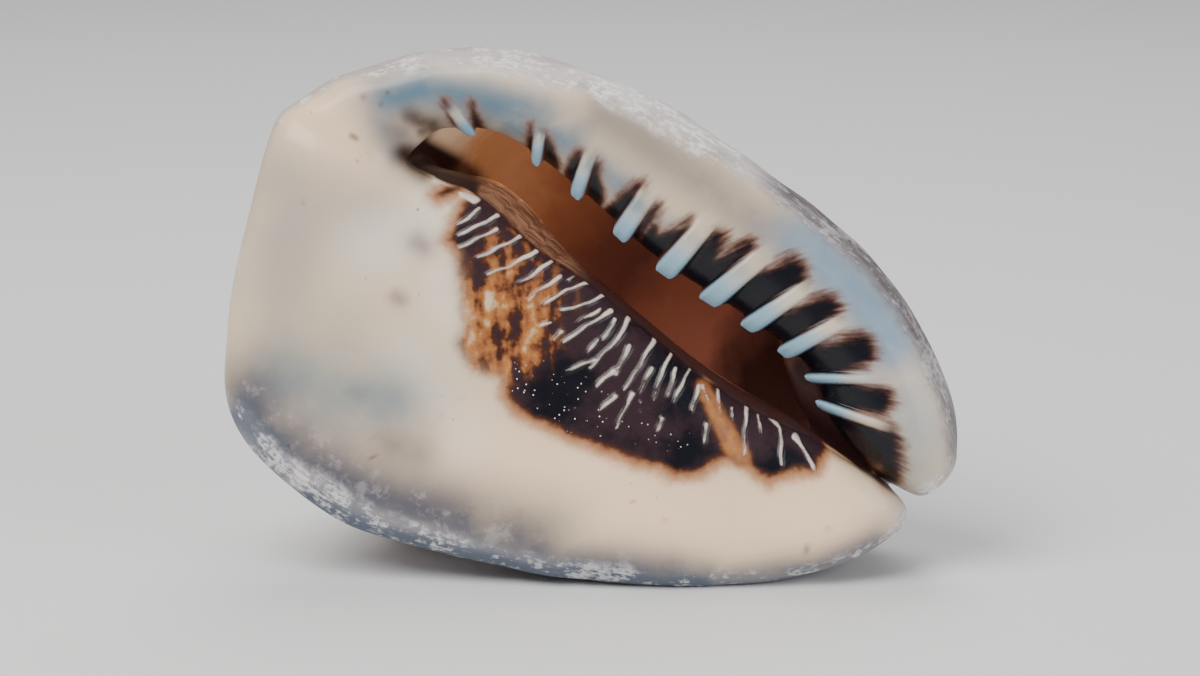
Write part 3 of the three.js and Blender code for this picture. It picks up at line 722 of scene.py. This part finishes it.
class Finish:
    # a material and the nodes that its parts ask for
    def __init__(self, name):
        self.material = bpy.data.materials.new(name)
        self.material.use_nodes = True
        self.tree = self.material.node_tree
        self.tree.nodes.clear()
        self.place = self.node("ShaderNodeTexCoord", out=3)

    def node(self, kind, settings=None, sockets=None, out=0):
        # makes a node, joins or sets its sockets and gives back one of its outputs
        made = self.tree.nodes.new(kind)
        for key, value in (settings or {}).items():
            if key == "stops":
                while len(made.color_ramp.elements) < len(value):
                    made.color_ramp.elements.new(0.5)
                for element, (at, colour) in zip(made.color_ramp.elements, value):
                    element.position, element.color = at, (*toned(colour), 1)
            else:
                setattr(made, key, value)
        for key, value in (sockets or {}).items():
            if isinstance(value, Wire):
                self.tree.links.new(value.socket, made.inputs[key])
            elif isinstance(value, tuple) and made.inputs[key].type == "RGBA":
                made.inputs[key].default_value = (*value, 1)
            else:
                made.inputs[key].default_value = value
        return Wire(self, made.outputs[out]) if len(made.outputs) > out else None

    def attribute(self, name):
        return self.node("ShaderNodeAttribute", {"attribute_name": name}, out=2)

    def noise(self, vector, scale, detail=3.0, roughness=0.55, distortion=0.0):
        return self.node("ShaderNodeTexNoise", {}, {
            "Vector": vector, "Scale": scale, "Detail": detail, "Roughness": roughness,
            "Distortion": distortion,
        })

    def cells(self, scale):
        # distance to the nearest of scattered points
        return self.node("ShaderNodeTexVoronoi", {}, {"Vector": self.place, "Scale": scale})

    def maths(self, operation, *values):
        return self.node("ShaderNodeMath", {"operation": operation}, dict(enumerate(values)))

    def vector(self, x, y, z=0.0):
        return self.node("ShaderNodeCombineXYZ", {}, {0: x, 1: y, 2: z})

    def vectorMaths(self, operation, vector, other, out=0):
        return self.node("ShaderNodeVectorMath", {"operation": operation}, {0: vector, 1: other}, out)

    def dot(self, vector, way):
        return self.vectorMaths("DOT_PRODUCT", vector, way, 1)

    def rise(self, value, low, high, start=0.0, end=1.0):
        # smooth step of value from low to high
        return self.node("ShaderNodeMapRange", {"interpolation_type": "SMOOTHSTEP"}, {
            0: value, 1: low, 2: high, 3: start, 4: end,
        })

    def blend(self, factor, a, b):
        # colour a where the factor is 0, b where it is 1
        settings = {"data_type": "RGBA", "blend_type": "MIX"}
        return self.node("ShaderNodeMix", settings, {0: factor, 6: toned(a), 7: toned(b)}, out=2)

    def ramp(self, value, stops):
        return self.node("ShaderNodeValToRGB", {"stops": stops}, {0: value})


# Tones of the shell, painted shade and reflection among them; those named like a tint or a field are its
# tone
tones = {
    "cream": (0.76, 0.6, 0.41),
    "pinkCream": (0.72, 0.54, 0.39),
    "coolCream": (0.6, 0.54, 0.46),
    "leftTint": (0.45, 0.39, 0.32),
    "warmTint": (1.0, 0.7, 0.47),
    "paleTint": (0.86, 0.76, 0.64),
    "hollowTint": (0.25, 0.285, 0.29),
    "duskTint": (0.105, 0.1, 0.118),
    "taupeTint": (0.27, 0.225, 0.19),
    "coolTint": (0.17, 0.27, 0.37),
    "lobeTint": (0.4, 0.38, 0.34),
    "slopeTint": (0.11, 0.18, 0.24),
    "bruiseTint": (0.06, 0.09, 0.14),
    "mauveTint": (0.26, 0.17, 0.18),
    "hindTint": (0.045, 0.02, 0.014),
    "rust": (0.3, 0.11, 0.04),
    "umber": (0.07, 0.02, 0.01),
    "haze": (0.2, 0.155, 0.15),
    "purpleBlack": (0.006, 0.006, 0.01),
    "purpleBrown": (0.034, 0.018, 0.023),
    "amber": (0.44, 0.18, 0.05),
    "oldIvory": (0.66, 0.5, 0.34),
    "callus": (0.22, 0.08, 0.035),
    # the teeth's tips: a painted blue reflection
    "toothTip": (0.26, 0.42, 0.53),
    "toothRoot": (0.68, 0.57, 0.44),
    "ridge": (0.72, 0.62, 0.53),
    "ridgeCool": (0.5, 0.45, 0.46),
    "chalk": (0.95, 0.93, 0.92),
    "lavender": (0.66, 0.6, 0.61),
    "taupeGrey": (0.42, 0.37, 0.36),
    "speckTint": (0.1, 0.05, 0.03),
    "bruised": (0.2, 0.19, 0.22),
    "backCream": (0.56, 0.46, 0.37),
    "backBrown": (0.2, 0.12, 0.085),
    "rimDusk": (0.11, 0.095, 0.105),
    "ledgeTan": (0.23, 0.115, 0.065),
    "ledgeBrown": (0.085, 0.034, 0.02),
    "insideDark": (0.035, 0.014, 0.012),
    "blackBrown": (0.015, 0.008, 0.008),
}
# Inside the aperture, hind end to notch: the glaze's tones, with a dip of painted shade past the middle
insideTones = [
    (0.0, (0.90, 0.64, 0.42)), (0.10, (0.66, 0.32, 0.13)), (0.22, (0.76, 0.36, 0.17)),
    (0.34, (0.44, 0.17, 0.08)), (0.50, (0.20, 0.07, 0.045)), (0.62, (0.16, 0.055, 0.04)),
    (0.74, (0.34, 0.12, 0.07)), (0.86, (0.40, 0.14, 0.09)), (0.94, (0.14, 0.05, 0.035)),
    (1.0, (0.04, 0.015, 0.014)),
]
amberStops = [
    (0.34, "purpleBrown"), (0.42, "umber"), (0.53, "rust"), (0.62, "amber"), (0.76, "oldIvory"),
]
skinForm = {
    # noises from clouds to grain: scale, detail, roughness
    "noises": {
        "cloud": (24, 3, 0.5), "cloudTwo": (55, 4, 0.6), "patchy": (170, 4, 0.62), "fine": (620, 3, 0.6),
        "grain": (2600, 2, 0.5),
    },
    # strengths, 0 to 1
    "coolClouds": 0.5,
    "flakes": 0.22,
    "specks": 0.45,
    "haze": 0.5,
    "amber": 0.95,
    "callus": 0.8,
    "dust": 0.85,
    "ridgeCool": 0.7,
    "ledge": 0.9,
    "growthLines": 0.35,
    "backGrey": 0.6,
    "backCream": 0.55,
    "backBrown": 0.85,
    "outerBruiseAndBounce": 0.9,
    "rubbed": (0.25, 0.35),  # all over, and more near the rim
    "roughness": (0.4, 0.14, 0.35, 0.12),  # base, patches, more outside, less on the stains
    "glaze": (0.3, 0.22),  # coat of the face, and how much less on the stains
    "glazeRoughness": 0.15,
    "bump": (0.35, 0.0004),  # strength, depth in metres
    "refraction": 1.45,
    "specular": 0.25,
    "through": 0.2,  # light that comes through the whorl's thin wall
}


def leantWay(way):
    # a direction of the face turned with the lean
    x, y, z = way
    return (x, y * math.cos(lean) + z * math.sin(lean), z * math.cos(lean) - y * math.sin(lean))


class ShellDesk(Finish):
    # the finish of the shell with its fields and noises, and how far each noise is from its middle
    def __init__(self, name):
        super().__init__(name)
        self.field = {name: self.attribute(name) for name in fields}
        self.grains = {name: self.noise(self.place, *form) for name, form in skinForm["noises"].items()}

    def off(self, name, size):
        # the noise moved to lie round 0, times size
        return (self.grains[name] - 0.5) * size


def enamelTone(desk):
    # clouds of three creams, then each tint by its field, pale flakes on the lower rim's painted shade and
    # bruise, and dark specks
    field, cloudTwo = desk.field, desk.grains["cloudTwo"]
    enamel = desk.blend(desk.rise(desk.grains["cloud"], 0.35, 0.68), "cream", "pinkCream")
    enamel = desk.blend(desk.rise(cloudTwo, 0.45, 0.75) * skinForm["coolClouds"], enamel, "coolCream")
    uneven = desk.rise(cloudTwo, 0.25, 0.6, 0.75, 1.0)
    for name in tints:
        enamel = desk.blend(field[name] * uneven, enamel, name)
    shadeAndBruise = desk.rise(field["duskTint"] + field["bruiseTint"], 0.3, 0.9)
    flakes = desk.rise(desk.noise(desk.place, 120, 6, 0.75, 0.1), 0.52, 0.64) * shadeAndBruise
    enamel = desk.blend(flakes * skinForm["flakes"], enamel, "lavender")
    specks = desk.rise(desk.cells(150.0), 0.09, 0.05) * desk.rise(desk.grains["fine"], 0.52, 0.62)
    return desk.blend(specks * skinForm["specks"], enamel, "umber")


def stainTone(desk, enamel):
    # the distance into a stain, made uneven by noises, picks amber, rust, haze, umber and near black in turn
    field, cloudTwo, patchy = desk.field, desk.grains["cloudTwo"], desk.grains["patchy"]
    lip = field["lipShare"]
    soft = lip * desk.rise(field["edgeAway"], 4.0, 13.0)  # where the lip's stains run out in streaks
    ends = desk.noise(desk.vector(field["alongRim"] * 0.5, field["edgeAway"] * 0.09), 1.0, 3, 0.6)
    stain = field["stain"] + desk.off("cloudTwo", 3.0) + desk.off("patchy", 3.2 - lip * 1.6)
    stain = stain + desk.off("fine", 1.1) + (ends - 0.5) * soft * 6.0 - field["amber"] * 3.0
    fringe = lip * 2.4 - 5.0
    coat = desk.blend(desk.rise(stain, fringe, -0.6) * (0.6 - lip * 0.5), enamel, "amber")
    coat = desk.blend(desk.rise(stain, fringe + 1.2, 0.2) * (0.8 - lip * 0.3), coat, "rust")
    coat = desk.blend(desk.rise(stain, -3.5, 1.0) * lip * skinForm["haze"], coat, "haze")
    coat = desk.blend(desk.rise(stain, -1.0 - soft, 1.0 + soft * 1.5), coat, "umber")
    dark = desk.rise(stain, 0.0, 2.0 + soft * 1.2)
    purple = desk.rise(cloudTwo, 0.38, 0.58) * (1 - lip)
    coat = desk.blend(dark, coat, desk.blend(purple, "purpleBlack", "purpleBrown"))
    coat = amberPattern(desk, coat, stain)
    crossing = desk.rise(field["callus"] + desk.off("patchy", 3.0), -1.4, 1.0)
    crossing = crossing * desk.rise(field["edgeAway"], -1.0, 1.0) * skinForm["callus"]
    coat = desk.blend(crossing, coat, desk.blend(desk.rise(patchy, 0.4, 0.65), "callus", "amber"))
    dust = desk.rise(desk.cells(640.0), 0.15, 0.09) * desk.rise(field["dustHere"] + patchy * 0.6, 0.6, 1.0)
    coat = desk.blend(dust * desk.rise(stain, 0.3, 2.0) * skinForm["dust"], coat, "chalk")
    return coat, dark


def amberPattern(desk, coat, stain):
    # two noises, one drawn out upright, run through a ramp from dark brown to ivory
    amber = desk.field["amber"]
    upright = desk.vectorMaths("MULTIPLY", desk.place, (1.0, 0.3, 0.3))
    mottle = desk.noise(desk.place, 260, 3, 0.55, 0.1) * 0.45 + desk.noise(upright, 270, 2, 0.5, 0.2) * 0.55
    mottle = mottle * 1.45 - 0.235 + (amber - 0.8) * 0.2 + desk.rise(stain, 1.0, -5.0, 0.0, 0.04)
    shown = desk.rise(amber, 0.12, 0.6) * desk.rise(stain, -6.0, 0.5)
    return desk.blend(shown * skinForm["amber"], coat, desk.ramp(mottle, amberStops))


def knobTone(desk, coat, enamel):
    # teeth from their roots to their tips, whose blue is a painted reflection, and the columella's ridges
    field, patchy, tipShare = desk.field, desk.grains["patchy"], desk.field["toothTip"]
    # tooth roots keep the enamel where the slope's painted shade and reflection lie
    root = desk.blend(0.6 - field["slopeTint"] * 0.5, enamel, "toothRoot")
    tooth = desk.blend(desk.rise(tipShare, 0.35, 0.85), root, "toothTip")
    shown = desk.rise(field["tooth"] + desk.off("fine", 0.3), -0.5, 0.4) * desk.rise(tipShare, -0.05, 0.35)
    coat = desk.blend(shown, coat, tooth)
    cool = desk.rise(patchy, 0.4, 0.7) * skinForm["ridgeCool"]
    ridge = desk.blend(cool, "ridge", "ridgeCool")
    return desk.blend(desk.rise(field["ridge"] + desk.off("fine", 0.35), -0.3, 0.3), coat, ridge)


def insideTone(desk):
    # ramp along the aperture: tan at the hind end, orange in the middle, a dip of painted shade, dark at the
    # notch
    field, edgeAway = desk.field, desk.field["edgeAway"]
    along = desk.dot(desk.place, (7.5, 0.0, -5.0)) + 0.86
    inner = desk.ramp(along + desk.off("cloudTwo", 0.2), insideTones)
    # painted shade: darker deeper in the chamber on the shield's side
    wall = (1 - field["lipShare"]) * desk.rise(edgeAway, -11.0, -7.0)
    inner = desk.blend(wall, inner, "insideDark")
    ledge = field["ledge"] * desk.rise(edgeAway, -12.0, -9.0)
    fibres = desk.noise(desk.vector(field["alongRim"] * 0.08, edgeAway * 1.1), 1.0, 4, 0.6, 0.6)
    fibres = desk.rise(fibres + desk.off("cloudTwo", 0.6), 0.4, 0.62)
    ledgeTone = desk.blend(fibres, "ledgeBrown", "ledgeTan")
    inner = desk.blend(ledge * skinForm["ledge"], inner, ledgeTone)
    return desk.blend(desk.rise(field["hindDark"], 0.15, 0.7), inner, "blackBrown")


def outsideTone(desk):
    # chalky lavender grey with growth lines, brown flecks behind and white rubbed spots; and its relief
    field, grains, cloudTwo, patchy = desk.field, desk.grains, desk.grains["cloudTwo"], desk.grains["patchy"]
    root = (np.array(leantWay(axisFront)) + np.array(shellForm["setDown"])) / 1000
    fromRoot = desk.vectorMaths("SUBTRACT", desk.place, tuple(root))
    f, s, h = (desk.dot(fromRoot, leantWay(way)) for way in (frontward, lipward, coilAxis))
    turn = desk.maths("ARCTAN2", s, f)
    roundX, roundY = desk.maths("COSINE", turn), desk.maths("SINE", turn)
    growth = desk.noise(desk.vector(roundX, roundY, h * 3.0), 26, 4, 0.7, 0.4)
    cords = desk.noise(desk.vector(roundX * 0.12, roundY * 0.12, h * 3.0), 60, 2, 0.5)
    outer = desk.blend(desk.rise(grains["cloud"], 0.35, 0.65), "lavender", "taupeGrey")
    outer = desk.blend(desk.rise(growth, 0.42, 0.7) * skinForm["growthLines"], outer, "bruised")
    # faded brown and cream flecks that stand in rows across the back
    behind = desk.rise(field["rimAway"], 6.0, 40.0)
    outer = desk.blend(behind * skinForm["backGrey"], outer, "taupeGrey")
    flecks = desk.noise(desk.vector(roundX, roundY, h * 7.0), 7, 3, 0.6, 0.8)
    for name, low, high in (("backCream", 0.36, 0.66), ("backBrown", 0.47, 0.34)):
        outer = desk.blend(behind * desk.rise(flecks, low, high) * skinForm[name], outer, name)
    alongRim = desk.vector(field["alongRim"] * 0.05, field["rimAway"] * 0.3, cloudTwo)
    near = 1 - behind
    streaks = desk.noise(alongRim, 3.2, 5, 0.7, 0.5) * near
    rubbed = patchy * 0.3 + grains["fine"] * 0.3 + streaks * 0.4 + behind * 0.2 + desk.off("cloudTwo", 0.4)
    allOver, more = skinForm["rubbed"]
    rubbed = desk.rise(rubbed, 0.50, 0.60) * (allOver + near * more) * (1 - field["rimDusk"] * 0.6)
    outer = desk.blend(field["rimDusk"] * desk.rise(growth, 0.3, 0.6, 0.7, 1.0), outer, "rimDusk")
    # the bruise on the outside too: its own colour, with painted bounced blue light
    outer = desk.blend(field["bruiseTint"] * skinForm["outerBruiseAndBounce"], outer, "bruiseTint")
    outer = desk.blend(rubbed, outer, "chalk")
    return outer, growth * 2.2 + cords * 1.6 + patchy * 1.2 + streaks * 1.5


def shellFinish():
    # the face's coats, the inside and worn outside over them; roughness, glaze, relief and a painted glow
    # inside
    desk = ShellDesk("agedShell")
    field, grains = desk.field, desk.grains
    enamel = enamelTone(desk)
    coat, dark = stainTone(desk, enamel)
    coat = knobTone(desk, coat, enamel)
    inner = insideTone(desk)
    inside = desk.rise(field["edgeAway"] + desk.off("fine", 0.6), -0.2, -1.4)
    coat = desk.blend(inside, coat, inner)
    outer, outerRelief = outsideTone(desk)
    worn = field["rimAway"] + field["wornWide"] + desk.off("cloudTwo", 6.0) + desk.off("patchy", 5.0)
    outside = desk.rise(worn, -2.5, 2.5)
    coat = desk.blend(outside, coat, outer)
    base, uneven, rougher, smoother = skinForm["roughness"]
    rough = base + desk.off("patchy", uneven) + outside * rougher - dark * smoother
    strength, depth = skinForm["bump"]
    relief = grains["grain"] * 0.2 + grains["fine"] * 0.25 + outside * outerRelief
    bump = desk.node("ShaderNodeBump", {}, {"Strength": strength, "Distance": depth, "Height": relief})
    gloss, lessGloss = skinForm["glaze"]
    skin = desk.node("ShaderNodeBsdfPrincipled", {}, {
        "Base Color": coat, "Roughness": rough, "Normal": bump,
        "Coat Weight": (1 - outside) * (gloss - dark * lessGloss),
        "Coat Roughness": skinForm["glazeRoughness"],
        "IOR": skinForm["refraction"], "Specular IOR Level": skinForm["specular"],
        # painted glow: the inside gives off its own tones, standing in for light through the thin wall
        "Emission Color": desk.blend(inside, (0.0, 0.0, 0.0), inner),
        "Emission Strength": skinForm["through"],
    })
    desk.node("ShaderNodeOutputMaterial", {}, {0: skin})
    return desk.material


shell.data.materials.append(shellFinish())
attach(shell, "root")
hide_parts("shell")
print("finish made")

studio = {
    "floorTone": (0.74, 0.75, 0.76),
    "floorSize": 8.0,
    "aim": (0.0022, -0.0504, 0.0666),  # the middle of the view
    "distance": 1.0,
    "lens": 112.3,
    "nearest": 0.01,  # metres from the camera
    "sky": 0.2,
    "skyTone": (0.95, 0.98, 1.0),
    "lampAim": (0, 0, 0.07),
    # place, size, power, tone
    "lamps": (
        ((-0.75, -0.75, 1.4), 1.1, 37.0, (1.0, 0.97, 0.93)),
        ((1.1, -0.85, 0.5), 0.9, 11.0, (0.96, 0.98, 1.0)),
        ((0.1, 0.7, 1.3), 0.9, 12.0, (1.0, 0.99, 0.97)),
    ),
}


def aimAt(thing, target):
    # turns a lamp or camera so that its -Z points at the target and its Y lies upward
    thing.rotation_mode = "QUATERNION"
    thing.rotation_quaternion = (Vector(target) - thing.location).to_track_quat("-Z", "Y")


def makeFloor():
    half = studio["floorSize"] / 2
    mesh = bpy.data.meshes.new("floor")
    corners = [(-half, -half, 0), (half, -half, 0), (half, half, 0), (-half, half, 0)]
    mesh.from_pydata(corners, [], [(0, 1, 2, 3)])
    floor = added("floor", mesh)
    desk = Finish("paleFloor")
    paint = desk.node("ShaderNodeBsdfPrincipled", {}, {"Base Color": studio["floorTone"], "Roughness": 0.6})
    desk.node("ShaderNodeOutputMaterial", {}, {0: paint})
    mesh.materials.append(desk.material)


def makeLights():
    # square lamps turned to the shell, and an even sky
    for i, (where, size, power, tone) in enumerate(studio["lamps"]):
        data = bpy.data.lights.new(f"lamp{i}", "AREA")
        data.size, data.energy, data.color = size, power, tone
        lamp = added(f"lamp{i}", data)
        lamp.location = where
        aimAt(lamp, studio["lampAim"])
    world = bpy.data.worlds.new("studioSky")
    world.use_nodes = True
    sky = world.node_tree.nodes["Background"]
    sky.inputs[0].default_value = (*studio["skyTone"], 1)
    sky.inputs[1].default_value = studio["sky"]
    bpy.context.scene.world = world


def makeCamera():
    # looks at the aim from the distance, square to the leaning face
    data = bpy.data.cameras.new("camera")
    data.lens, data.clip_start = studio["lens"], studio["nearest"]
    camera = added("camera", data)
    back = Vector((0, -math.cos(lean), math.sin(lean)))
    camera.location = Vector(studio["aim"]) + back * studio["distance"]
    aimAt(camera, studio["aim"])
    bpy.context.scene.camera = camera


makeFloor()
makeLights()
makeCamera()
print("studio made")
